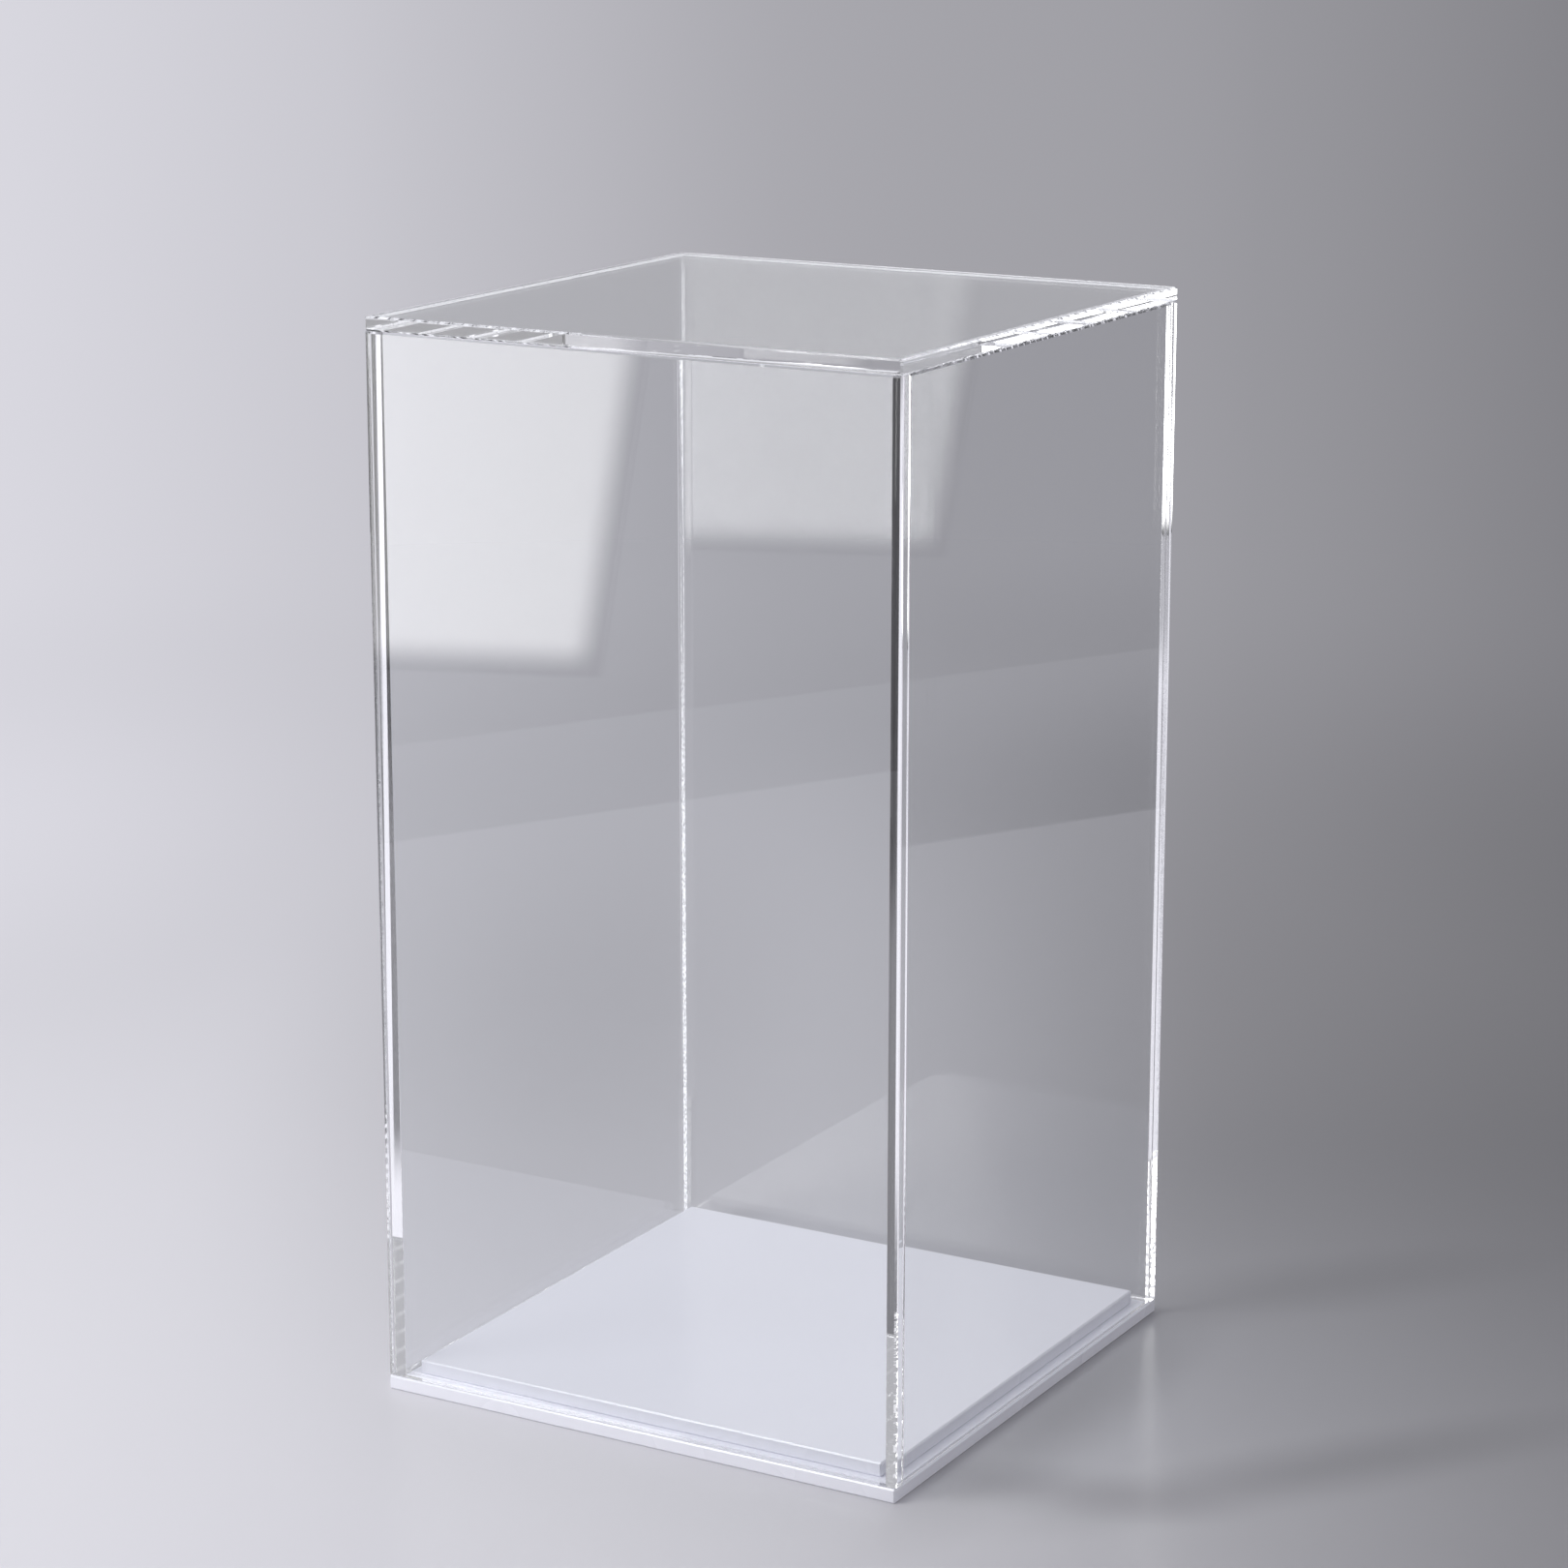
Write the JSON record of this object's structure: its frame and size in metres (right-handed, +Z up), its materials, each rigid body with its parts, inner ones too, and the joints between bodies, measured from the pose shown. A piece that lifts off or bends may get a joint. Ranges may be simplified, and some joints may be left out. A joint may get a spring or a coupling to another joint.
{
  "type": "acrylic display case",
  "caption": "Tall clear acrylic display case: a square cover of cemented flat sheets that lifts straight off a stepped white acrylic base.",
  "frame": {"origin": "middle of the base plate's underside, on the table", "axes": "+Z up along the height, -Y towards the front wall, +X to the right seen from the front"},
  "size_m": [0.16, 0.16, 0.3],
  "materials": {
    "clear_acrylic": "clear cast sheet, polished faces and edges",
    "white_acrylic": "opaque white cast sheet, glossy, edges eased",
    "cement": "cured clear solvent cement with fine bubbles"
  },
  "bodies": {
    "base": {"base_plate": "white_acrylic", "plinth_plate": "white_acrylic"},
    "cover": {"front_wall": "clear_acrylic", "back_wall": "clear_acrylic", "left_wall": "clear_acrylic", "right_wall": "clear_acrylic", "top_panel": "clear_acrylic", "corner_seams": "cement", "top_seams": "cement"}
  },
  "joints": [
    {"name": "cover_lift", "type": "slide", "parent": "base", "child": "cover", "axis": [0, 0, 1], "range_m": [0, 0.3]}
  ]
}
